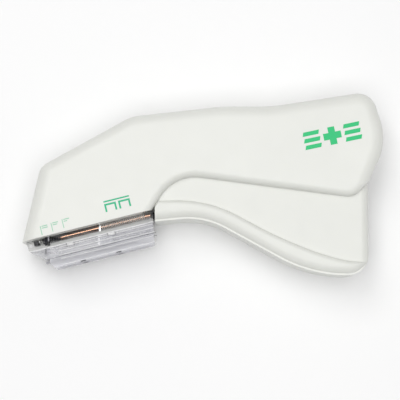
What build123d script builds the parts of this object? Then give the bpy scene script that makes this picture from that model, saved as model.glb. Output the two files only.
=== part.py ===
"""A disposable skin stapler, lying on its side.

X runs from the nose to the pommel, Y from the trigger to the top ridge, and Z through the thickness.
Everything is drawn about the stapler's mid-plane (z = 0 while drawing) and moved at the end, so that the
row's origin is under the middle of its box, on the side face that it lies on.
Each sub-part is one function, and main() writes them all. Sizes are in millimetres.
"""

import math
import os

from build123d import *

# ---- casing ----
HALF = 14.0  # half of the casing's thickness
WALL = 2.2
EDGE_R = 5.5  # rounding of the casing's outer edge
LIP_HALF = 10.8  # half of the slot that the trigger closes into
LIP_R = HALF - LIP_HALF  # rounding of the lip over that slot
# corners of the side view, from the foot of the front over the top to the end of the pommel
OUTLINE = [
    (-84.5, -60.0), (-69.0, 8.6), (-30.5, 30.1), (8.0, 34.4), (29.0, 34.4), (71.5, 41.0), (78.3, 20.0),
    (44.7, -60.0),
]
OUTLINE_R = [7.0, 18.0, 60.0, 60.0, 8.0, 25.0]

# corners of the casing's lower edge over the trigger: behind the cartridge, over the pivot, at the tail
# and past it
SEAM = [(-60.4, -70.4), (-11.8, 5.2), (63.5, -4.6), (104.0, 35.0)]
SEAM_R = [17.0, 7.0]
PEGS = [(-57.0, 9.0), (-28.0, 21.0), (25.0, 27.5), (67.0, 31.5)]
PEG_R = 1.5
BOSS_R = 3.0
TAIL_GATE = (66.0, 10.5)  # the end wall is open behind this x, below this y

# ---- cartridge ----
FOOT = (-74.6, -23.3)  # front end of the casing's edge over the cartridge
HEEL = (-21.0, -9.9)
TILT = math.degrees(math.atan2(HEEL[1] - FOOT[1], HEEL[0] - FOOT[0]))
BASE_WALL = 1.6  # casing wall that the cartridge's flange is clamped over
CART_HALF = 7.8
NECK_HALF = 5.0
FLANGE_HALF = 6.6
NECK_TOP = 2.8  # the flange's top, above the casing's edge
NECK_DROP = 2.8  # end of the neck, below the casing's edge
SHOULDER_DROP = 4.4
CART_SPLIT = 9.3  # body above, cover below
CART_DROP = 13.8
COVER_HALF = 7.5
CHANNEL_HALF = 6.75
CART_END = -21.4  # x of the rear end, at the top
NOSE = [(-75.2, -23.6), (-73.6, -27.5), (-71.4, -28.7), (-68.2, -29.6), (-66.2, -31.2)]
COVER_FRONT = (-64.8, -32.4)
COVER_FOOT = (-62.6, -34.1)

# ---- staples and former ----
WIRE = 0.55
PITCH = 0.58
STAPLES = 35
CROWN = 12.5  # between the legs' centres
LEG = 5.8
BEND = 0.8
CROWN_DROP = 4.5
FIRST_X = -64.55
ANVIL_DROP = 9.7
ANVIL_T = 1.0
ANVIL_HALF = 3.2
TIP_HALF = 1.9
BLADE_X = -65.5
BLADE_T = 0.6
BLADE_HALF = 6.6
BLADE_FOOT = -22.9
BLADE_TOP = 4.0
NOTCH = (4.6, 4.2)
SLOT_HALF = 6.9
GUIDE = (-70.6, -67.0, -66.15)  # x of the nose guide's front, of its plate's front, of its back
GATE = (-64.75, -60.9)  # x of the feed gate's front and back
GATE_HALF = 4.4
ANVIL_TIP = 5.4  # along the cartridge, as the next two
ANVIL_WIDE = 7.8
ANVIL_END = 45.0

# ---- feed ----
PLATE = (-44.5, -43.65)  # x of the pusher plate's front and back
PLATE_HALF = 6.4
PLATE_DROPS = (4.3, 9.4)
PUSHER_END = -38.5
PLUG_X = -24.4
ROD_START = -62.5
ROD_END = -22.6
ROD_DROP = 0.9
ROD_R = 1.0
COIL_R = 1.45
COIL_WIRE = 0.4
COIL_TURNS = 24
TROUGH = (1.1, 1.9)  # the spring's room: its top above the casing's edge, and its half width

# ---- trigger, lever and ram ----
PIVOT = (-19.5, -0.5)
PIN_R = 2.0
PIN_HALF = 13.05
HUB_R = 6.0
HUB_HALF = 10.2
RUN = 0.05  # radial clearance of a running fit
WEB_HALF = 10.4
RIM_HALF = 12.4
RIM_R = 4.5  # rounding under the fingers
CREST_R = 1.9  # rounding of the rim's upper edge
TAIL_R = 3.5
SKIN = 2.1
NOSE_OF_GRIP = -20.3  # x of the grip's front end
TAIL_X = 70.1  # x of its rear end
# the grip's underside: ahead of it, under the first finger, under the last, its rear corner, above it
GRIP = [(-60.3, -18.9), (0.4, -12.8), (45.4, -37.5), (TAIL_X, -37.5), (TAIL_X, 60.0)]
GRIP_R = [33.8, 58.0, 9.2]
# the rim's upper edge, and the web's top inside the casing
RIM_TOP = [
    (-30.0, -6.5), (-2.9, -6.5), (7.1, -9.0), (17.2, -13.7), (27.3, -19.1), (37.4, -23.7),
    (47.5, -27.7), (58.0, -30.8), (80.0, -33.0),
]
WEB_TOP = [(-14.0, 6.6), (-2.0, 9.2), (8.0, 8.0), (22.0, 5.8), (42.0, 3.5), (58.0, 1.6), (66.0, 1.0)]
SEAT = (4.5, 15.5, 2.0, 8.0)  # block in the grip under the return spring: x and y limits
LEVER_HALF = 3.0
LEVER_HUB_R = 5.8
LEVER_TIP_R = 2.8
LEVER_PIN = (1.0, -1.5)
LEVER_PIN_R = 1.5
LEVER_PIN_HALF = 9.4
DRIVE = (-57.5, 1.0)  # the drive pin, at rest
DRIVE_R = 1.5
DRIVE_HALF = 7.8
CARRIER = (-52.8, -2.4, 5.0)  # rear end, underside, top
CARRIER_HALF = 8.0
TRACK = (-59.4, -54.4, 1.75)  # the drive pin's slot: front, rear, half of its height
RIVETS = [(1.6, -4.5), (1.6, 4.5)]  # y and z of the blade's rivets
RIVET_R = 1.0

# ---- return spring and stop ----
RETURN_X = 10.0
RETURN_R = 3.5
RETURN_WIRE = 1.0
RETURN_ENDS = (8.1, 28.9)  # y of its lower and upper end
RETURN_TURNS = 8
PAD = (-48.0, -42.0, 4.4, 7.0)  # the stop pad's x and y limits


def flat(edges):
    """A face from a list of edges that close on each other."""
    return Face(Wire(edges))


def slab(face, half):
    """The face thickened equally to both sides of the mid-plane."""
    return extrude(face, half, dir=(0, 0, 1), both=True)


def box(x0, x1, y0, y1, z0, z1):
    """A box from its limits."""
    size = Box(x1 - x0, y1 - y0, z1 - z0)
    return Pos((x0 + x1) / 2, (y0 + y1) / 2, (z0 + z1) / 2) * size


def pin(place, radius, z0, z1):
    """A cylinder along Z."""
    return Pos(place[0], place[1], (z0 + z1) / 2) * Cylinder(radius, z1 - z0)


def along(points, start=None, end=None):
    """A smooth curve through the points, with its end directions where they are given."""
    tangents = [t for t in (start, end) if t]
    if tangents:
        return Spline(*points, tangents=tangents)
    return Spline(*points)


def tilted(shape):
    """From the cartridge's own frame (x to the rear, y up from the casing's edge) to the stapler's."""
    return Location((FOOT[0], FOOT[1], 0), (0, 0, TILT)) * shape


def edge_y(x, drop=0.0):
    """Height of the line that lies this far below the casing's edge over the cartridge, at x."""
    slope = math.tan(math.radians(TILT))
    return FOOT[1] + (x - FOOT[0]) * slope - drop / math.cos(math.radians(TILT))


# ---- casing ----


def casing_face(inset=0.0):
    """The casing's side view, carried on far below its lower edge."""
    top = FilletPolyline(*OUTLINE, radius=OUTLINE_R)
    face = flat([*top.edges(), Line(top @ 1, top @ 0)])
    return offset(face, -inset).face() if inset else face


def seam_edges():
    """The seam, carried on down behind the cartridge and up past the trigger's tail."""
    return FilletPolyline(*SEAM, radius=SEAM_R).edges()


def above_seam(inset=0.0):
    """Everything that the casing may fill: ahead of the trigger and above the seam."""
    corners = [SEAM[-1], (SEAM[-1][0], 90), (-110, 90), (-110, SEAM[0][1]), SEAM[0]]
    sides = [Line(a, b) for a, b in zip(corners, corners[1:])]
    face = flat([*seam_edges(), *sides])
    return offset(face, -inset).face() if inset else face


def below_seam(grow):
    """The space that the trigger needs, this much wider than the seam."""
    corners = [SEAM[-1], (SEAM[-1][0], SEAM[0][1]), SEAM[0]]
    sides = [Line(a, b) for a, b in zip(corners, corners[1:])]
    return offset(flat([*seam_edges(), *sides]), grow).face()


def above_cartridge(lift=0.0):
    """Everything above the casing's edge over the cartridge, and all that is behind its heel."""
    left, right, heel = -110, 110, HEEL[0] + 1
    edge = [(left, edge_y(left, -lift)), (heel, edge_y(heel, -lift))]
    points = [*edge, (heel, -90), (right, -90), (right, 150), (left, 150)]
    return flat(Polyline(*points, close=True).edges())


def side_edges(solid, half, keep):
    """Edges of the two side faces that keep() accepts by their middle."""
    return [e for e in solid.edges() if abs(abs(e.center().Z) - half) < 0.01 and keep(e)]


def casing_block():
    """The casing as one full block, rounded."""
    outer = slab(casing_face(), HALF)
    rounded = side_edges(outer, HALF, lambda e: e.center().Y > OUTLINE[0][1] + 1)
    outer = fillet(rounded, EDGE_R)
    lip = slab(above_seam(), HALF)
    chain = Wire(seam_edges())
    near = side_edges(lip, HALF, lambda e: chain.distance_to(Vertex(e.center().X, e.center().Y, 0)) < 4)
    lip = fillet(near, LIP_R)
    return outer & lip & slab(above_cartridge(), HALF)


def casing_hollow():
    """The room inside the casing."""
    half = HALF - WALL
    inner = slab(casing_face(WALL), half)
    rounded = side_edges(inner, half, lambda e: e.center().Y > OUTLINE[0][1] + 5)
    inner = fillet(rounded, EDGE_R - WALL)
    room = inner & slab(above_seam(WALL), half) & slab(above_cartridge(BASE_WALL), half)
    slot = slab(below_seam(3.0), LIP_HALF)
    gate = box(TAIL_GATE[0], 90, -20, TAIL_GATE[1], -LIP_HALF, LIP_HALF)
    neck = tilted(box(-0.5, 52.0, -1, BASE_WALL + 1, -NECK_HALF - 0.1, NECK_HALF + 0.1))
    gap = BLADE_T / 2 + 0.4
    ram = box(BLADE_X - gap - 1.2, BLADE_X + gap, -28, -12, -SLOT_HALF - 0.2, SLOT_HALF + 0.2)
    return room + slot + gate + neck + ram


def guide_ribs():
    """Ribs that guide the ram carrier, and the blocks for the stop pad and the return spring."""
    inner = HALF - WALL / 2
    shapes = []
    for sign in (-1, 1):
        z0, z1 = sorted((sign * (CARRIER_HALF + 0.2), sign * inner))
        shapes += [box(x, x + 2, -15.5, 9.0, z0, z1) for x in (-64.5, -56.0)]
    shapes.append(box(PAD[0] - 1, PAD[1] + 1, PAD[3], PAD[3] + 2.5, -inner, inner))
    shapes.append(box(RETURN_X - 5, RETURN_X + 5, RETURN_ENDS[1] + 0.1, 33.0, -5, 5))
    return shapes


def half_shell(side):
    """One half of the casing: side is -1 below the mid-plane and 1 above it."""
    full = casing_block()
    block = full - casing_hollow()
    inner = HALF - WALL / 2
    for place in PEGS:
        block += pin(place, BOSS_R, -inner, inner)
    for rib in guide_ribs():
        block += rib
    for z0, z1 in ((HUB_HALF + 0.3, inner), (-inner, -HUB_HALF - 0.3)):
        block += pin(PIVOT, PIN_R + 2.5, z0, z1) & full
    block -= pin(PIVOT, PIN_R, -PIN_HALF - RUN, PIN_HALF + RUN)
    half = block & box(-100, 100, -60, 60, *sorted((0.0, side * 20.0)))
    for place in PEGS:
        if side > 0:
            half += pin(place, PEG_R, -4.0, 1.0)
        else:
            half -= pin(place, PEG_R + RUN, -4.5, 1.0)
    return half


def stop_pad():
    """A soft pad that the lever rests on when the trigger is open."""
    return box(PAD[0], PAD[1], PAD[2], PAD[3] - 0.01, -LEVER_HALF, LEVER_HALF)


# ---- trigger ----


def above_grip():
    """Everything above the grip's underside and ahead of its rear end."""
    corner = (GRIP[0][0], GRIP[-1][1])
    under = FilletPolyline(*GRIP, radius=GRIP_R).edges()
    return flat([*under, Line(GRIP[-1], corner), Line(corner, GRIP[0])])


def web_solid():
    """The part of the grip that closes into the casing, rounded at its rear end."""
    limit = box(NOSE_OF_GRIP, TAIL_X, -60, 60, -WEB_HALF, WEB_HALF)
    limit = fillet(side_edges(limit, WEB_HALF, lambda e: e.center().X > TAIL_X - 0.5), TAIL_R)
    return slab(web_face(), WEB_HALF) & limit


def web_face(inset=0.0):
    """The trigger's side view."""
    top = along(WEB_TOP)
    left, right = (-60, WEB_TOP[0][1] - 1.5), (90, WEB_TOP[-1][1] - 1)
    below = flat([
        Line(left, WEB_TOP[0]), top, Line(WEB_TOP[-1], right), Line(right, (90, -60)), Line((90, -60), (-60, -60)),
        Line((-60, -60), left),
    ])
    front = Pos(50 + NOSE_OF_GRIP, 0) * Rectangle(100, 150)
    face = (above_grip() & below & front).face()
    return offset(face, -inset).face() if inset else face


def rim():
    """The finger rim: wider than the web, and rounded under the fingers."""
    full = slab(above_grip(), RIM_HALF)
    chain = Wire(FilletPolyline(*GRIP, radius=GRIP_R).edges())
    full = fillet(side_edges(full, RIM_HALF, lambda e: chain.distance_to(flat_point(e)) < 0.5), RIM_R)
    top = along(RIM_TOP, (1, 0), (1, -0.1))
    under = flat([top, Line(top @ 1, (80, -60)), Line((80, -60), (-30, -60)), Line((-30, -60), top @ 0)])
    under = slab(under, RIM_HALF)
    under = fillet(side_edges(under, RIM_HALF, lambda e: top.distance_to(flat_point(e)) < 0.5), CREST_R)
    ahead = box(NOSE_OF_GRIP, 100, -60, 60, -20, 20)
    return full & under & ahead & slab(below_seam(-0.6), RIM_HALF)


def flat_point(edge):
    """The middle of an edge, in the mid-plane."""
    middle = edge @ 0.5
    return Vertex(middle.X, middle.Y, 0)


def trigger():
    """The squeeze grip: a hollow web that closes into the casing, with a wide rim under the fingers."""
    room = web_face(SKIN)
    hollow = slab(room, WEB_HALF - SKIN) + Pos(0, 5, 0) * slab(room, WEB_HALF - SKIN)
    hollow -= box(*SEAT, -WEB_HALF, WEB_HALF)
    body = web_solid() + rim() - hollow
    body += pin(PIVOT, HUB_R, -HUB_HALF, HUB_HALF)
    body += pin(LEVER_PIN, LEVER_PIN_R + 2, -WEB_HALF + 0.5, WEB_HALF - 0.5)
    body -= pin(PIVOT, PIN_R + RUN, -20, 20)
    body -= pin(LEVER_PIN, LEVER_PIN_R, -LEVER_PIN_HALF, LEVER_PIN_HALF)
    return body - box(-30, 5.2, -6.6, 7, -LEVER_HALF - 0.1, LEVER_HALF + 0.1)


def drive_lever():
    """The lever, fixed in the trigger, that pushes the ram carrier down."""
    (px, py), (dx, dy), (lx, ly) = PIVOT, DRIVE, LEVER_PIN
    arm = [(px, py + LEVER_HUB_R - 0.3), (dx, dy + LEVER_TIP_R), (dx, dy - LEVER_TIP_R), (px, py - 5.0)]
    tail = [(px, py + 5.0), (lx, ly + 3.5), (lx, ly - 3.5), (px, py - 5.0)]
    lever = pin(PIVOT, LEVER_HUB_R, -LEVER_HALF, LEVER_HALF)
    lever += pin(DRIVE, LEVER_TIP_R, -LEVER_HALF, LEVER_HALF)
    lever += pin(LEVER_PIN, 3.5, -LEVER_HALF, LEVER_HALF)
    for corners in (arm, tail):
        lever += slab(flat(Polyline(*corners, close=True).edges()), LEVER_HALF)
    lever -= pin(PIVOT, PIN_R + RUN, -20, 20)
    lever -= pin(DRIVE, DRIVE_R, -20, 20)
    return lever - pin(LEVER_PIN, LEVER_PIN_R, -20, 20)


def coil(radius, wire, length, turns):
    """A round-wire coil standing on the origin along Z; length is between its wire's end centres."""
    path = Helix(length / turns, length, radius)
    section = Plane(path @ 0, z_dir=path % 0) * Circle(wire / 2)
    return sweep(section, path, is_frenet=True)


def return_spring():
    """The spring that opens the trigger."""
    low, high = RETURN_ENDS
    spring = coil(RETURN_R, RETURN_WIRE, high - low - RETURN_WIRE, RETURN_TURNS)
    return Location((RETURN_X, low + RETURN_WIRE / 2, 0), (-90, 0, 0)) * spring


# ---- ram ----


def blade_front():
    return BLADE_X - BLADE_T / 2


def blade_back():
    return BLADE_X + BLADE_T / 2


def rivet(y, z, radius, x0, x1):
    """A cylinder along X."""
    return Location(((x0 + x1) / 2, y, z), (0, 90, 0)) * Cylinder(radius, x1 - x0)


def former_blade():
    """The former: a steel blade with a notch that clears the anvil's tip."""
    blade = box(blade_front(), blade_back(), BLADE_FOOT, BLADE_TOP, -BLADE_HALF, BLADE_HALF)
    blade -= box(-70, -60, BLADE_FOOT - 1, BLADE_FOOT + NOTCH[1], -NOTCH[0] / 2, NOTCH[0] / 2)
    for y, z in RIVETS:
        blade -= rivet(y, z, RIVET_R, -70, -60)
    return blade


def blade_rivets():
    """Two rivets that hold the blade on its carrier."""
    rivets = []
    for y, z in RIVETS:
        shank = rivet(y, z, RIVET_R, blade_front() - 0.3, blade_back() + 2.5)
        head = rivet(y, z, RIVET_R + 0.7, blade_front() - 0.6, blade_front() - 0.001)
        rivets.append(shank + head)
    return Compound(rivets)


def ram_carrier():
    """The slider behind the blade, forked round the lever, with the drive pin's slot through it."""
    rear, low, high = CARRIER
    carrier = box(blade_back() + 0.001, rear, low, high, -CARRIER_HALF, CARRIER_HALF)
    carrier = fillet(carrier.edges().filter_by(Axis.X), 0.8)
    fork = DRIVE[0] - LEVER_TIP_R - 0.4
    carrier -= box(fork, rear + 1, low - 1, high + 1, -LEVER_HALF - 0.3, LEVER_HALF + 0.3)
    front, back, half = TRACK
    carrier -= box(front + half, back - half, DRIVE[1] - half, DRIVE[1] + half, -20, 20)
    for x in (front + half, back - half):
        carrier -= pin((x, DRIVE[1]), half, -20, 20)
    for y, z in RIVETS:
        carrier -= rivet(y, z, RIVET_R, -70, blade_back() + 2.5)
    return carrier


# ---- cartridge ----


def cartridge_side(points):
    """A slab of the cartridge's side view, in the stapler's frame."""
    return slab(flat(Polyline(*points, close=True).edges()), 20)


def band(x0, x1, drop0, drop1, half):
    """A slab between two lines parallel to the casing's edge, with upright ends."""
    points = [(x0, edge_y(x0, drop0)), (x1, edge_y(x1, drop0)), (x1, edge_y(x1, drop1)), (x0, edge_y(x0, drop1))]
    return slab(flat(Polyline(*points, close=True).edges()), half)


def rod_line(x):
    """Distance along the cartridge of the point on the rod's axis at x."""
    turn = math.radians(TILT)
    return (x - FOOT[0] - ROD_DROP * math.sin(turn)) / math.cos(turn)


def rod_room(radius, x0, x1):
    """A cylinder on the rod's axis between two x."""
    low, high = rod_line(x0), rod_line(x1)
    return tilted(Location(((low + high) / 2, -ROD_DROP, 0), (0, 90, 0)) * Cylinder(radius, high - low))


def cartridge_rear():
    """Corners of the cartridge's rear end, top first."""
    return [(CART_END, edge_y(CART_END) - 0.1), (CART_END + 0.6, edge_y(CART_END) - CART_DROP)]


def cartridge_body():
    """The clear upper half: neck, sloping shoulders and side walls, with the nose in one piece."""
    shapes = [
        box(-2, 60, BASE_WALL + 0.1, NECK_TOP, -FLANGE_HALF, FLANGE_HALF),
        box(-2, 60, -SHOULDER_DROP, BASE_WALL + 0.1, -NECK_HALF, NECK_HALF),
    ]
    section = Polyline(
        (-NECK_HALF, -NECK_DROP), (NECK_HALF, -NECK_DROP), (CART_HALF, -SHOULDER_DROP), (CART_HALF, -CART_SPLIT),
        (-CART_HALF, -CART_SPLIT), (-CART_HALF, -SHOULDER_DROP), close=True,
    )
    across = Plane((-2, 0, 0), x_dir=(0, 0, -1), z_dir=(1, 0, 0))
    wide = extrude(across * flat(section.edges()), 62, dir=(1, 0, 0))
    solid = tilted(shapes[0] + shapes[1] + wide)
    inside = FOOT[0] + 1.8
    profile = [
        (inside, edge_y(inside)), (inside, -5), (-25.0, 5), (-25.0, edge_y(-25.0)), *cartridge_rear(),
        (CART_END + 0.7, -40), (NOSE[-1][0], -40), *reversed(NOSE),
    ]
    solid &= cartridge_side(profile)
    slot = BLADE_T / 2 + 0.3
    solid -= box(BLADE_X - slot, BLADE_X + slot + 0.2, -40, 0, -SLOT_HALF, SLOT_HALF)
    solid -= channel()
    return solid - nose_guide() - gate_block()


def channel():
    """The room for the staples and, over them, for the rod and its spring."""
    lower = band(BLADE_X + 0.5, -10, 4.05, 20, CHANNEL_HALF)
    low, high = rod_line(GATE[1]) - 0.6, rod_line(-10)
    return lower + tilted(box(low, high, -5, TROUGH[0], -TROUGH[1], TROUGH[1]))


def cartridge_cover():
    """The clear tray that closes the channel from below and carries the anvil."""
    tray = tilted(box(0, 60, -CART_DROP, -CART_SPLIT - 0.05, -COVER_HALF, COVER_HALF))
    tray &= cartridge_side([
        (COVER_FRONT[0], 0), COVER_FRONT, COVER_FOOT, (COVER_FOOT[0], -40), (CART_END + 0.7, -40),
        *reversed(cartridge_rear()), (CART_END, 0),
    ])
    tray -= tilted(box(-5, 65, -ANVIL_DROP - ANVIL_T, 0, -CHANNEL_HALF, CHANNEL_HALF))
    return tray - tilted(box(-5, 65, -CART_DROP - 1, -12.4, -5.8, 5.8))


def anvil():
    """The strip that a staple is bent over, with its narrow tip at the nose."""
    low, high = -ANVIL_DROP - ANVIL_T, -ANVIL_DROP
    tip = box(ANVIL_TIP, ANVIL_WIDE + 0.01, low, high, -TIP_HALF, TIP_HALF)
    return tilted(tip + box(ANVIL_WIDE, ANVIL_END, low, high, -ANVIL_HALF, ANVIL_HALF))


def nose_guide():
    """The black steel guide in front of the former."""
    front, plate, back = GUIDE
    return band(plate, back, -2.5, 7.2, 6.0) + band(front, plate + 0.01, 0.5, 3.3, 3.6)


def gate_block():
    """The feed gate with no hole in it."""
    return band(*GATE, -0.8, 4.0, GATE_HALF)


def feed_gate():
    """The black steel block behind the former, which holds the rod's front end."""
    return gate_block() - rod_room(ROD_R, ROD_START, -50)


def guide_rod():
    """The rod that the pusher slides on."""
    return rod_room(ROD_R, ROD_START, ROD_END)


def end_plug():
    """The plug in the cartridge's rear end."""
    plug = channel() & box(PLUG_X, 0, -40, 10, -20, 20)
    plug &= tilted(box(0, 60, -CART_SPLIT, 5, -20, 20))
    top, foot = cartridge_rear()
    plug &= cartridge_side([(PLUG_X, 5), (top[0], 5), top, foot, (PLUG_X, foot[1])])
    return plug - guide_rod()


def staples():
    """The row of unformed wide staples, each upright behind the one before."""
    half = CROWN / 2
    path = Plane.YZ * FilletPolyline((-LEG, -half), (0, -half), (0, half), (-LEG, half), radius=BEND)
    wire = sweep(Plane(path @ 0, z_dir=path % 0) * Circle(WIRE / 2), path)
    row = []
    for n in range(STAPLES):
        x = FIRST_X + n * PITCH
        row.append(Pos(x, edge_y(x, CROWN_DROP), 0) * wire)
    return Compound(row)


def pusher():
    """The block that pushes the row of staples forward."""
    return band(PLATE[1] + 0.001, PUSHER_END, *PLATE_DROPS, PLATE_HALF)


def pusher_plate():
    """The steel plate on the pusher's front, with a ring on the rod."""
    plate = band(*PLATE, *PLATE_DROPS, PLATE_HALF)
    ring = band(*PLATE, -0.8, PLATE_DROPS[0] + 0.01, 1.75)
    return plate + ring - rod_room(ROD_R + RUN, -50, -30)


def pusher_spring():
    """The spring round the rod, behind the pusher."""
    low, high = rod_line(PLATE[1]) + COIL_WIRE, rod_line(PLUG_X) - COIL_WIRE
    spring = coil(COIL_R, COIL_WIRE, high - low, COIL_TURNS)
    return tilted(Location((low, -ROD_DROP, 0), (0, 90, 0)) * spring)


def parts():
    """Every sub-part by name, drawn about the mid-plane."""
    return {
        "upper_shell": half_shell(1),
        "lower_shell": half_shell(-1),
        "stop_pad": stop_pad(),
        "trigger": trigger(),
        "drive_lever": drive_lever(),
        "pivot_pin": pin(PIVOT, PIN_R, -PIN_HALF, PIN_HALF),
        "lever_pin": pin(LEVER_PIN, LEVER_PIN_R, -LEVER_PIN_HALF, LEVER_PIN_HALF),
        "drive_pin": pin(DRIVE, DRIVE_R, -DRIVE_HALF, DRIVE_HALF),
        "return_spring": return_spring(),
        "ram_carrier": ram_carrier(),
        "former_blade": former_blade(),
        "blade_rivets": blade_rivets(),
        "cartridge_body": cartridge_body(),
        "cartridge_cover": cartridge_cover(),
        "anvil": anvil(),
        "nose_guide": nose_guide(),
        "feed_gate": feed_gate(),
        "guide_rod": guide_rod(),
        "staples": staples(),
        "pusher": pusher(),
        "pusher_plate": pusher_plate(),
        "pusher_spring": pusher_spring(),
        "end_plug": end_plug(),
    }


def main():
    os.makedirs("parts", exist_ok=True)
    shapes = parts()
    boxes = [shape.bounding_box() for shape in shapes.values()]
    x = (min(b.min.X for b in boxes) + max(b.max.X for b in boxes)) / 2
    y = (min(b.min.Y for b in boxes) + max(b.max.Y for b in boxes)) / 2
    for name, shape in shapes.items():
        export_step(Pos(-x, -y, HALF) * shape, f"parts/{name}.step")
    print(f"mid-plane origin is at ({-x:.3f}, {-y:.3f}, {HALF}) in the row's frame")
    print(f"pivot is at ({PIVOT[0] - x:.3f}, {PIVOT[1] - y:.3f})")


main()
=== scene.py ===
"""Looks of a disposable skin stapler that lies on its side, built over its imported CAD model."""

import math

import bmesh
import bpy
from mathutils import Matrix, Vector


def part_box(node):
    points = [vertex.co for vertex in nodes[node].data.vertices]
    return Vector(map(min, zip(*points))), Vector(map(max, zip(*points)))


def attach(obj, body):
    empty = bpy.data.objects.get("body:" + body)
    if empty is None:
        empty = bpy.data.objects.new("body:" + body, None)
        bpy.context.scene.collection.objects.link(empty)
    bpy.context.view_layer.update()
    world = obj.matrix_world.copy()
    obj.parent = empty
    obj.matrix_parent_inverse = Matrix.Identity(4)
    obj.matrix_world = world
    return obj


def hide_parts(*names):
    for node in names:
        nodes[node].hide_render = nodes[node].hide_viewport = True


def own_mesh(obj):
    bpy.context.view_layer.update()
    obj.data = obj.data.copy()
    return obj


MM = 0.001
ORIGIN = Vector((-0.177, -1.274, 14.0))  # the drawing's mid-plane origin in the row's frame, in mm
FACE_Z = 28.0  # height of the upper side face, in mm
INK_HEIGHT = 0.05  # thickness of the printed marks, in mm
INK_SUNK = 0.01  # how far they reach into the face
TILT = math.radians(14.04)  # slope of the casing's edge over the cartridge
FOOT = (-74.777, -24.574)  # front end of that edge in the row's frame, in mm
ZONE_DEPTH = 14.0  # mm below that edge over which the clear plastic changes

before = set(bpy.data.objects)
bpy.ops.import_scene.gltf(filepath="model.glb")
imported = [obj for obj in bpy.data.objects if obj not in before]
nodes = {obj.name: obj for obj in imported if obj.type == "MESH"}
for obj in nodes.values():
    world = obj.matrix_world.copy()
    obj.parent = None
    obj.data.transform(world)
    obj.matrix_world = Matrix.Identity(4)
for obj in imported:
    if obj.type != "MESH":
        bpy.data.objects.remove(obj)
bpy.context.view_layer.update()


# ---- materials ----


def new_material(name):
    """An empty node material: its tree, its shader and its object coordinates."""
    material = bpy.data.materials.new(name)
    material.use_nodes = True
    tree = material.node_tree
    shader = tree.nodes["Principled BSDF"]
    coordinates = tree.nodes.new("ShaderNodeTexCoord").outputs["Object"]
    return material, tree, shader, coordinates


def stretched(tree, vector, scale, turn=0.0):
    """The coordinates scaled along each axis, after a turn about Z."""
    mapping = tree.nodes.new("ShaderNodeMapping")
    mapping.inputs["Scale"].default_value = scale
    mapping.inputs["Rotation"].default_value = (0, 0, turn)
    tree.links.new(vector, mapping.inputs["Vector"])
    return mapping.outputs["Vector"]


def noise(tree, vector, scale, detail=3.0):
    """A noise value over the surface."""
    texture = tree.nodes.new("ShaderNodeTexNoise")
    texture.inputs["Scale"].default_value = scale
    texture.inputs["Detail"].default_value = detail
    tree.links.new(vector, texture.inputs["Vector"])
    return texture.outputs["Fac"]


def spread(tree, value, low, high, start=0.3, end=0.7):
    """A value taken from start..end to low..high."""
    node = tree.nodes.new("ShaderNodeMapRange")
    for socket, number in zip(("From Min", "From Max", "To Min", "To Max"), (start, end, low, high)):
        node.inputs[socket].default_value = number
    tree.links.new(value, node.inputs["Value"])
    return node.outputs["Result"]


def two_tone(tree, value, first, second):
    """A colour between two, chosen by a value."""
    ramp = tree.nodes.new("ShaderNodeValToRGB")
    ramp.color_ramp.elements[0].position = 0.3
    ramp.color_ramp.elements[1].position = 0.7
    ramp.color_ramp.elements[0].color = (*first, 1)
    ramp.color_ramp.elements[1].color = (*second, 1)
    tree.links.new(value, ramp.inputs["Fac"])
    return ramp.outputs["Color"]


def bump(tree, shader, heights):
    """Adds bumps, each (height value, strength, distance in metres), one over the other."""
    last = None
    for height, strength, distance in heights:
        node = tree.nodes.new("ShaderNodeBump")
        node.inputs["Strength"].default_value = strength
        node.inputs["Distance"].default_value = distance
        tree.links.new(height, node.inputs["Height"])
        if last:
            tree.links.new(last, node.inputs["Normal"])
        last = node.outputs["Normal"]
    tree.links.new(last, shader.inputs["Normal"])


def parting_line(tree, at, colour):
    """The colour, darkened in the fine gap where the two casing halves meet."""
    axes = tree.nodes.new("ShaderNodeSeparateXYZ")
    tree.links.new(at, axes.inputs["Vector"])
    gap = tree.nodes.new("ShaderNodeMath")
    gap.operation = "COMPARE"
    gap.inputs[1].default_value = ORIGIN.z * MM
    gap.inputs[2].default_value = 0.09 * MM
    tree.links.new(axes.outputs["Z"], gap.inputs[0])
    mix = tree.nodes.new("ShaderNodeMix")
    mix.data_type = "RGBA"
    mix.inputs["B"].default_value = (0.3, 0.3, 0.28, 1)
    tree.links.new(gap.outputs["Value"], mix.inputs["Factor"])
    tree.links.new(colour, mix.inputs["A"])
    return mix.outputs["Result"]


def moulded_plastic(name, light, dark, roughness, grain, scatter=0.0, parted=False):
    """Moulded plastic: a slow drift of colour and gloss, and a fine eroded grain."""
    material, tree, shader, at = new_material(name)
    slow = noise(tree, at, 28, 4)
    fine = noise(tree, at, 5200, 2)
    colour = two_tone(tree, slow, dark, light)
    if parted:
        colour = parting_line(tree, at, colour)
    tree.links.new(colour, shader.inputs["Base Color"])
    tree.links.new(spread(tree, noise(tree, at, 160, 5), *roughness), shader.inputs["Roughness"])
    bump(tree, shader, [(fine, 0.12, grain), (noise(tree, at, 60, 2), 0.05, 0.0003)])
    shader.inputs["Specular IOR Level"].default_value = 0.45
    if scatter:
        shader.inputs["Subsurface Weight"].default_value = scatter
        shader.inputs["Subsurface Radius"].default_value = (0.004, 0.004, 0.0035)
        shader.inputs["Subsurface Scale"].default_value = 0.6
    return material


def metal(name, light, dark, roughness, lines, turn=0.0, metallic=1.0):
    """Drawn or rolled metal: fine lines along the piece, and a slightly uneven gloss."""
    material, tree, shader, at = new_material(name)
    streak = noise(tree, stretched(tree, at, lines, turn), 1.0, 4)
    tree.links.new(two_tone(tree, streak, dark, light), shader.inputs["Base Color"])
    tree.links.new(spread(tree, streak, *roughness), shader.inputs["Roughness"])
    shader.inputs["Metallic"].default_value = metallic
    bump(tree, shader, [(streak, 0.15, 0.00003)])
    return material


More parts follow.
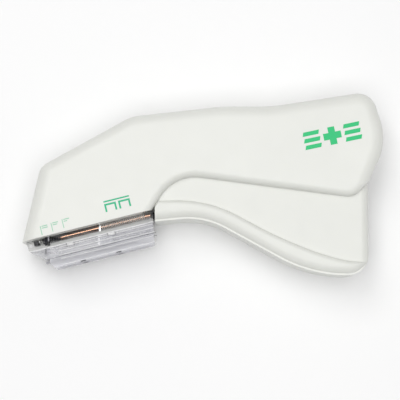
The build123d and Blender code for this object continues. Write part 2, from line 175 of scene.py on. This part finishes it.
def below_edge(tree, at):
    """Distance below the casing's edge over the cartridge, in metres, square to that edge."""
    axes = tree.nodes.new("ShaderNodeSeparateXYZ")
    tree.links.new(stretched(tree, at, (1, 1, 1), -TILT), axes.inputs["Vector"])
    edge = FOOT[1] * math.cos(TILT) - FOOT[0] * math.sin(TILT)
    drop = tree.nodes.new("ShaderNodeMath")
    drop.operation = "SUBTRACT"
    drop.inputs[0].default_value = edge * MM
    tree.links.new(axes.outputs["Y"], drop.inputs[1])
    return drop.outputs["Value"]


def zones(tree, value, stops, colours=False):
    """A value or a colour that steps smoothly from one stop to the next; stops are (mm, value)."""
    ramp = tree.nodes.new("ShaderNodeValToRGB")
    elements = ramp.color_ramp.elements
    while len(elements) < len(stops):
        elements.new(0.5)
    for element, (mm, number) in zip(elements, stops):
        element.position = mm / ZONE_DEPTH
        element.color = (*number, 1) if colours else (number, number, number, 1)
    tree.links.new(spread(tree, value, 0.0, 1.0, 0.0, ZONE_DEPTH * MM), ramp.inputs["Fac"])
    return ramp.outputs["Color"]


def clear_plastic(name, opacity, tints):
    """Clear plastic, frosted by zones below the casing's edge, where an opaque white zone is a painted
    highlight, and a little milkier at grazing angles.
    """
    material, tree, shader, at = new_material(name)
    flow = noise(tree, stretched(tree, at, (60, 900, 900), -TILT), 1.0, 4)
    drop = below_edge(tree, at)
    tree.links.new(zones(tree, drop, tints, True), shader.inputs["Base Color"])
    tree.links.new(spread(tree, flow, 0.08, 0.28), shader.inputs["Roughness"])
    edge = tree.nodes.new("ShaderNodeLayerWeight")
    edge.inputs["Blend"].default_value = 0.35
    veil = zones(tree, drop, opacity)
    parts = [spread(tree, edge.outputs["Facing"], 0.0, 0.5, 0.0, 1.0), spread(tree, flow, -0.06, 0.08)]
    for part in parts:
        both = tree.nodes.new("ShaderNodeMath")
        both.operation = "ADD"
        both.use_clamp = True
        tree.links.new(veil, both.inputs[0])
        tree.links.new(part, both.inputs[1])
        veil = both.outputs["Value"]
    tree.links.new(veil, shader.inputs["Alpha"])
    bump(tree, shader, [(flow, 0.25, 0.0001)])
    shader.inputs["Coat Weight"].default_value = 0.35
    shader.inputs["Coat Roughness"].default_value = 0.05
    return material


def ink(name, light, dark):
    """Pad-printed ink: a little uneven, with a fine speckle."""
    material, tree, shader, at = new_material(name)
    speckle = noise(tree, at, 2600, 3)
    tree.links.new(two_tone(tree, speckle, dark, light), shader.inputs["Base Color"])
    tree.links.new(spread(tree, speckle, 0.35, 0.55), shader.inputs["Roughness"])
    bump(tree, shader, [(speckle, 0.1, 0.00002)])
    return material


white = moulded_plastic(
    "white_moulding", (0.80, 0.808, 0.765), (0.785, 0.792, 0.75), (0.3, 0.42), 0.00003, 0.08, True
)
trigger_white = moulded_plastic(
    "trigger_moulding", (0.785, 0.793, 0.75), (0.765, 0.772, 0.73), (0.3, 0.42), 0.00003, 0.08
)
nylon = moulded_plastic("grey_nylon", (0.60, 0.61, 0.63), (0.52, 0.53, 0.55), (0.38, 0.5), 0.00004)
rubber = moulded_plastic("soft_pad", (0.30, 0.31, 0.32), (0.25, 0.26, 0.27), (0.6, 0.75), 0.00005)
# a milky white for frosted plastic, also used for the painted highlight on the cartridge's ridge
MILK_AND_RIDGE_HIGHLIGHT = (0.93, 0.93, 0.93)
LAVENDER = (0.74, 0.74, 0.79)
# the opaque white zone 3.2 to 4.5 mm below the casing's edge is a painted highlight on the cartridge's
# sloping ridge; the rest is frosted clear plastic
clear = clear_plastic(
    "frosted_clear_with_ridge_highlight",
    [(0.0, 0.03), (2.6, 0.05), (3.2, 0.75), (4.5, 0.75), (5.0, 0.3), (9.0, 0.34)],
    [(0.0, MILK_AND_RIDGE_HIGHLIGHT), (4.5, MILK_AND_RIDGE_HIGHLIGHT), (5.2, LAVENDER)],
)
cover_clear = clear_plastic("frosted_cover", [(0.0, 0.3), (13.0, 0.38)], [(0.0, LAVENDER), (13.0, LAVENDER)])
steel = metal("bright_steel", (0.82, 0.82, 0.80), (0.62, 0.62, 0.61), (0.16, 0.3), (300, 4000, 4000))
dark_steel = metal(
    "dark_steel", (0.20, 0.20, 0.21), (0.07, 0.07, 0.08), (0.2, 0.35), (300, 4000, 4000), -TILT
)
# near-white base with low metallic: partly the pale steel, partly painted light that brightens the coil in
# its shaded slot
wire = metal("spring_steel", (1.0, 0.97, 0.93), (0.85, 0.8, 0.74), (0.3, 0.42), (1500, 3000, 3000), 0.0, 0.2)
copper = metal("copper_wire", (0.93, 0.56, 0.38), (0.70, 0.36, 0.22), (0.16, 0.28), (200, 5000, 5000), -TILT)
black = metal("blackened_steel", (0.03, 0.03, 0.033), (0.008, 0.008, 0.01), (0.3, 0.5), (900, 900, 900))
# painted shade: a dark brown that stands in for the shaded hollow round the rod, used on the strip under it
rod_hollow_shade = metal(
    "rod_hollow_shade_brown", (0.16, 0.085, 0.06), (0.05, 0.03, 0.025), (0.3, 0.5), (200, 4000, 4000), -TILT
)
smoke = moulded_plastic("dark_gap", (0.10, 0.10, 0.11), (0.05, 0.05, 0.06), (0.5, 0.7), 0.00002)
rib_clear = clear_plastic("clear_rib", [(0.0, 0.55), (13.0, 0.6)], [(0.0, MILK_AND_RIDGE_HIGHLIGHT), (13.0, MILK_AND_RIDGE_HIGHLIGHT)])
green = ink("green_ink", (0.0, 0.58, 0.19), (0.0, 0.5, 0.16))
teal = ink("teal_ink", (0.01, 0.50, 0.25), (0.01, 0.42, 0.2))
pale_green = ink("pale_green_ink", (0.36, 0.66, 0.48), (0.30, 0.58, 0.41))

NODE_MATERIALS = {
    "upper_shell": white,
    "lower_shell": white,
    "trigger": trigger_white,
    "stop_pad": rubber,
    "drive_lever": nylon,
    "ram_carrier": nylon,
    "pusher": nylon,
    "end_plug": clear,
    "cartridge_body": clear,
    "cartridge_cover": cover_clear,
    "anvil": dark_steel,
    "nose_guide": black,
    "feed_gate": black,
    "guide_rod": copper,
    "staples": steel,
    "pusher_plate": steel,
    "pusher_spring": wire,
    "return_spring": wire,
    "former_blade": dark_steel,
    "blade_rivets": steel,
    "pivot_pin": steel,
    "lever_pin": steel,
    "drive_pin": steel,
}

for name, node in nodes.items():
    node.data.materials.clear()
    node.data.materials.append(NODE_MATERIALS[name])
    node.data.shade_smooth()
    node.data.set_sharp_from_angle(angle=math.radians(28))
    flats = node.modifiers.new("flat_faces", "WEIGHTED_NORMAL")
    flats.keep_sharp = True


# ---- pieces ----


def place(x, y, z=FACE_Z):
    """A point of the drawing in the row's frame, in metres."""
    return Vector((x + ORIGIN.x, y + ORIGIN.y, z)) * MM


def mesh_from(name, built):
    """A mesh from a bmesh, which is freed."""
    mesh = bpy.data.meshes.new(name)
    built.to_mesh(mesh)
    built.free()
    return mesh


def add_piece(name, mesh, matrix, material):
    """Puts a mesh on the casing, with its material."""
    piece = bpy.data.objects.new(name, mesh)
    bpy.context.scene.collection.objects.link(piece)
    piece.matrix_world = matrix
    mesh.materials.clear()
    mesh.materials.append(material)
    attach(piece, "casing")
    return piece


# ---- printed marks ----


def printed(name, outlines, centre, turn, material):
    """A raised print of flat outlines, in mm about its centre, on the upper side face."""
    built = bmesh.new()
    for outline in outlines:
        built.faces.new([built.verts.new((x * MM, y * MM, 0)) for x, y in outline])
    lifted = bmesh.ops.extrude_face_region(built, geom=built.faces[:])
    tops = [v for v in lifted["geom"] if isinstance(v, bmesh.types.BMVert)]
    bmesh.ops.translate(built, verts=tops, vec=(0, 0, INK_HEIGHT * MM))
    bmesh.ops.recalc_face_normals(built, faces=built.faces[:])
    base = place(*centre, FACE_Z - INK_SUNK)
    matrix = Matrix.Translation(base) @ Matrix.Rotation(turn, 4, "Z")
    add_piece(name, mesh_from(name, built), matrix, material)


def bar(x0, x1, y0, y1, slant=0.0):
    """A bar with upright or slanted ends."""
    return [(x0, y0), (x1, y0), (x1 + slant, y1), (x0 + slant, y1)]


def cross(arm, half):
    """A plus sign."""
    corner = [(half, arm), (half, half), (arm, half), (arm, -half), (half, -half), (half, -arm)]
    return corner + [(-x, -y) for x, y in corner]


def wide_staple(x, half, leg, wire_width):
    """An unformed staple with square corners, its legs down."""
    return [
        (x - half, -leg), (x - half + wire_width, -leg), (x - half + wire_width, -wire_width),
        (x + half - wire_width, -wire_width), (x + half - wire_width, -leg), (x + half, -leg),
        (x + half, 0), (x - half, 0),
    ]


wings = [bar(5.0, 11.8, y, y + 1.75, 0.6) for y in (-3.75, -0.9, 1.95)]
wings += [[(-x, -y) for x, y in wing] for wing in wings]
emblem = [cross(3.8, 1.45), *wings]
printed("emblem", emblem, (54.6, 21.2), math.radians(12), green)
printed(
    "staple_sign",
    [wide_staple(-2.95, 2.5, 3.4, 0.75), wide_staple(3.05, 2.5, 3.4, 0.75), bar(-5.45, 5.55, 0.7, 1.3)],
    (-36.3, -6.6), TILT, teal,
)
for n, (x, y) in enumerate([(-66.4, -17.6), (-61.9, -16.2), (-57.3, -14.7)]):
    printed(
        f"count_mark_{n + 1}",
        [bar(-1.9, -1.55, -2.9, 0.9), bar(-1.2, 1.3, 0.5, 0.9), bar(-1.2, 1.3 - 0.5 * n, -0.3, 0.1)],
        (x, y), TILT, pale_green,
    )


# ---- cartridge details ----


def on_cartridge(along, drop, height):
    """A point so far along the cartridge, below the casing's edge and above the floor, in metres."""
    x = FOOT[0] + along * math.cos(TILT) + drop * math.sin(TILT)
    y = FOOT[1] + along * math.sin(TILT) - drop * math.cos(TILT)
    return Vector((x, y, height)) * MM


def block(name, along, drop, heights, material, slot, round_by):
    """A block with rounded edges on the cartridge; each limit is a pair, in mm."""
    size = [(high - low) * MM for low, high in (along, drop, heights)]
    built = bmesh.new()
    bmesh.ops.create_cube(built, size=1.0, matrix=Matrix.Diagonal((*size, 1)))
    bmesh.ops.bevel(built, geom=built.edges[:], offset=round_by * MM, segments=3, affect="EDGES", profile=0.5)
    mesh = mesh_from(name, built)
    mesh.shade_smooth()
    centre = on_cartridge(sum(along) / 2, sum(drop) / 2, sum(heights) / 2)
    matrix = Matrix.Translation(centre) @ Matrix.Rotation(TILT, 4, "Z")
    add_piece(name, mesh, matrix, material)


BODY_FACE = 21.8  # height of the cartridge body's upper side face, in mm
COVER_FACE = 21.5  # and of the tray's


def side_details(side, mirrored):
    """Ribs, latches, clips and the joint line on one side of the cartridge."""

    def deep(face, below, above):
        """Heights of a block that reaches below and above a side face."""
        heights = (face - below, face + above)
        return (FACE_Z - heights[1], FACE_Z - heights[0]) if mirrored else heights

    body_rib = deep(BODY_FACE, 0.2, 0.22)
    for n, drop in enumerate([5.3, 6.9, 8.7]):
        limits = (12.0, 53.5), (drop, drop + 0.35)
        block(f"{side}_rib_{n + 1}", *limits, body_rib, rib_clear, "clear_grey", 0.1)
    tray_rib = deep(COVER_FACE, 0.2, 0.2)
    for n, drop in enumerate([10.3, 12.9]):
        limits = (12.5, 53.0), (drop, drop + 0.3)
        block(f"{side}_cover_rib_{n + 1}", *limits, tray_rib, rib_clear, "clear_grey", 0.1)
    line = deep(COVER_FACE, 0.3, 0.04)
    block(f"{side}_joint_line", (10.0, 54.0), (9.28, 9.42), line, smoke, "black_steel", 0.02)
    latch = deep(BODY_FACE, 0.3, 0.35)
    gap = deep(BODY_FACE, 0.2, 0.1)
    for n, along in enumerate([17.7, 35.6]):
        limits = (along - 1.4, along + 1.4), (4.75, 5.9)
        block(f"{side}_latch_{n + 1}", *limits, latch, rib_clear, "clear_grey", 0.2)
        for k, edge in enumerate((along - 1.75, along + 1.5)):
            limits = (edge, edge + 0.25), (4.7, 6.0)
            block(f"{side}_latch_gap_{n + 1}_{k + 1}", *limits, gap, smoke, "black_steel", 0.05)
    clip = deep(COVER_FACE, 0.5, 0.1)
    for n, along in enumerate([21.4, 36.8]):
        limits = (along - 1.1, along + 1.1), (13.3, 13.75)
        block(f"{side}_clip_{n + 1}", *limits, clip, smoke, "black_steel", 0.1)


side_details("upper", False)
side_details("lower", True)

# painted shade: a dark brown strip under the rod stands in for the dark hollow round it; then the fittings
# before the former, and a black block behind it that is painted shade in an opening
block("rod_shade_strip", (13.8, 31.4), (-0.7, 2.75), (11.4, 12.3), rod_hollow_shade, "black_steel", 0.1)
guide_blocks = [(3.4, 0.7, 17.9), (7.2, 0.6, 18.4), (12.0, 0.7, 18.2)]
for n, (along, drop, top) in enumerate(guide_blocks):
    limits = (along - 1.0, along + 1.0), (drop - 0.4, drop + 1.6)
    block(f"guide_block_{n + 1}", *limits, (FACE_Z - top, top), black, "black_steel", 0.25)
for n, along in enumerate([5.0, 7.9, 11.3]):
    limits = (along - 0.35, along + 0.35), (0.6, 1.3)
    block(f"guide_rivet_{n + 1}", *limits, (9.8, 18.2), steel, "bright_steel", 0.2)
# painted shade: a black block filling the dark opening between the cartridge's rear and the trigger
block("rear_opening_shade", (53.4, 55.4), (0.4, 3.2), (10.0, 18.0), black, "black_steel", 0.5)


# ---- springs that shorten ----

STEPS_PER_TURN = 20


def spring(name, start, end, radius, wire_width, turns):
    """A coil with capped ends from one point to another, in metres; the other sizes are in mm."""
    axis = end - start
    steps = turns * STEPS_PER_TURN
    curve = bpy.data.curves.new(name, "CURVE")
    curve.dimensions = "3D"
    curve.bevel_depth = wire_width / 2 * MM
    curve.bevel_resolution = 3
    curve.use_fill_caps = True
    path = curve.splines.new("POLY")
    path.points.add(steps)
    lift = (axis.length - wire_width * MM) / steps
    for n, point in enumerate(path.points):
        angle = 2 * math.pi * turns * n / steps
        height = wire_width / 2 * MM + lift * n
        point.co = (radius * MM * math.cos(angle), radius * MM * math.sin(angle), height, 1)
    drawn = bpy.data.objects.new(name + "_curve", curve)
    mesh = bpy.data.meshes.new_from_object(drawn)
    bpy.data.objects.remove(drawn)
    mesh.transform(Matrix.Translation(start) @ axis.to_track_quat("Z", "Y").to_matrix().to_4x4())
    mesh.shade_smooth()
    return add_piece(name, mesh, Matrix.Identity(4), wire)


low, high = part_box("return_spring")
middle = (low + high) / 2
foot = Vector((middle.x, low.y, middle.z))
top = Vector((middle.x, high.y, middle.z))
opener = spring("opening_coil", foot, top, 3.5, 1.0, 8)
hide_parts("return_spring")
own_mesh(opener)

plate_end = on_cartridge(31.75, 0.9, ORIGIN.z)
plug_end = on_cartridge(51.45, 0.9, ORIGIN.z)
feeder = spring("feed_coil", plate_end, plug_end, 1.5, 0.5, 24)
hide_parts("pusher_spring")
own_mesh(feeder)


# ---- floor, light and camera ----


def area_light(name, where, size, power):
    """A soft square light that faces the object; its place is in metres."""
    data = bpy.data.lights.new(name, "AREA")
    data.size = size
    data.energy = power
    light = bpy.data.objects.new(name, data)
    bpy.context.scene.collection.objects.link(light)
    light.location = where
    light.rotation_euler = (-Vector(where)).to_track_quat("-Z", "Y").to_euler()


floor_mesh = bpy.data.meshes.new("floor")
floor_mesh.from_pydata([(-3, -3, 0), (3, -3, 0), (3, 3, 0), (-3, 3, 0)], [], [(0, 1, 2, 3)])
floor = bpy.data.objects.new("floor", floor_mesh)
bpy.context.scene.collection.objects.link(floor)
floor.location.z = -0.0001
floor_material, tree, shader, at = new_material("pale_floor")
floor_colour = two_tone(tree, noise(tree, at, 3), (0.97, 0.97, 0.97), (0.985, 0.985, 0.985))
tree.links.new(floor_colour, shader.inputs["Base Color"])
shader.inputs["Roughness"].default_value = 0.7
floor.data.materials.append(floor_material)

area_light("key", (-0.25, 0.45, 0.9), 0.5, 2.2)
area_light("overhead", (0.0, -0.1, 1.1), 0.9, 6.9)
area_light("right_fill", (0.7, -0.3, 0.5), 0.5, 0.3)

world = bpy.data.worlds.new("studio")
world.use_nodes = True
world.node_tree.nodes["Background"].inputs["Color"].default_value = (1, 1, 1, 1)
world.node_tree.nodes["Background"].inputs["Strength"].default_value = 0.33
scene = bpy.context.scene
scene.world = world
scene.view_settings.view_transform = "Standard"

LEAN = math.radians(5.5)  # the camera stands this far over the trigger's side
DISTANCE = 0.6
HALF_VIEW = 0.084  # half of what the picture takes in at the upper side face
aim = place(-1.26, -6.09)
camera_data = bpy.data.cameras.new("camera")
camera_data.angle = 2 * math.atan(HALF_VIEW / DISTANCE)
camera = bpy.data.objects.new("camera", camera_data)
scene.collection.objects.link(camera)
camera.location = aim + Vector((0, -math.sin(LEAN), math.cos(LEAN))) * DISTANCE
camera.rotation_euler = (LEAN, 0, 0)
scene.camera = camera
